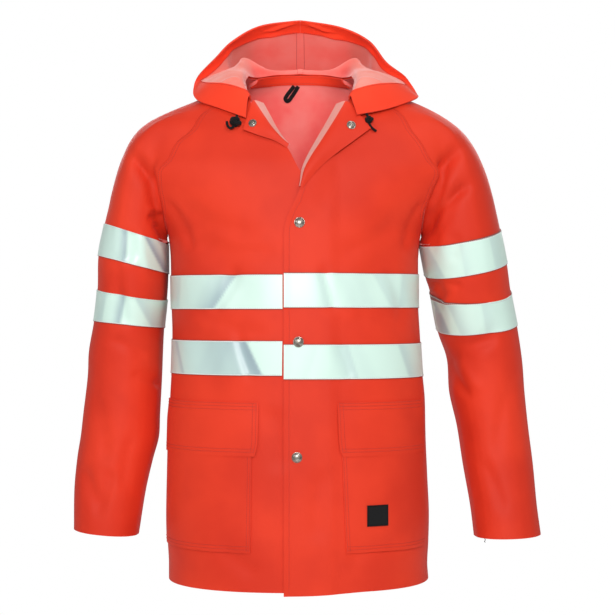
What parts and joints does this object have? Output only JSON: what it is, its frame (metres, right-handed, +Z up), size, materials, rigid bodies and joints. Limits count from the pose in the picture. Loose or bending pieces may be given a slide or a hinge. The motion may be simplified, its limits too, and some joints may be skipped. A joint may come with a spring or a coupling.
{
  "type": "hi-vis work jacket",
  "caption": "Waterproof hi-vis work jacket with a hood lying back, raglan sleeves, retroreflective tapes, flap pockets and a snap front.",
  "frame": {"origin": "centre of the jacket between the shoulders, where a hanger or a neck carries it", "axes": "+Z up, the front faces -Y, +X towards the wearer's left"},
  "size_m": [0.6967, 0.3572, 0.8445],
  "materials": {
    "coated_cloth": "satin polyurethane coating on a knit",
    "reflective_tape": "retroreflective, sewn",
    "antique_nickel": "antique nickel",
    "black_trim": "matte"
  },
  "bodies": {
    "root": {"back": "coated_cloth", "drawcord_left": "black_trim", "drawcord_right": "black_trim", "flap_left": "coated_cloth", "flap_right": "coated_cloth", "front_left": "coated_cloth", "front_right": "coated_cloth", "hanger_loop": "black_trim", "hood_facing_left": "coated_cloth", "hood_facing_right": "coated_cloth", "hood_left": "coated_cloth", "hood_right": "coated_cloth", "knot_left": "black_trim", "knot_right": "black_trim", "lapel_left": "coated_cloth", "lapel_right": "coated_cloth", "neck_band": "coated_cloth", "pocket_left": "coated_cloth", "pocket_patch": "black_trim", "pocket_right": "coated_cloth", "ring_snap_left": "antique_nickel", "ring_snap_right": "antique_nickel", "sleeve_left": "coated_cloth", "sleeve_right": "coated_cloth", "snap_bottom": "antique_nickel", "snap_middle": "antique_nickel", "snap_top": "antique_nickel", "tape_lower_back": "reflective_tape", "tape_lower_front_left": "reflective_tape", "tape_lower_front_right": "reflective_tape", "tape_lower_sleeve_left": "reflective_tape", "tape_lower_sleeve_right": "reflective_tape", "tape_upper_back": "reflective_tape", "tape_upper_front_left": "reflective_tape", "tape_upper_front_right": "reflective_tape", "tape_upper_sleeve_left": "reflective_tape", "tape_upper_sleeve_right": "reflective_tape"}
  },
  "joints": []
}
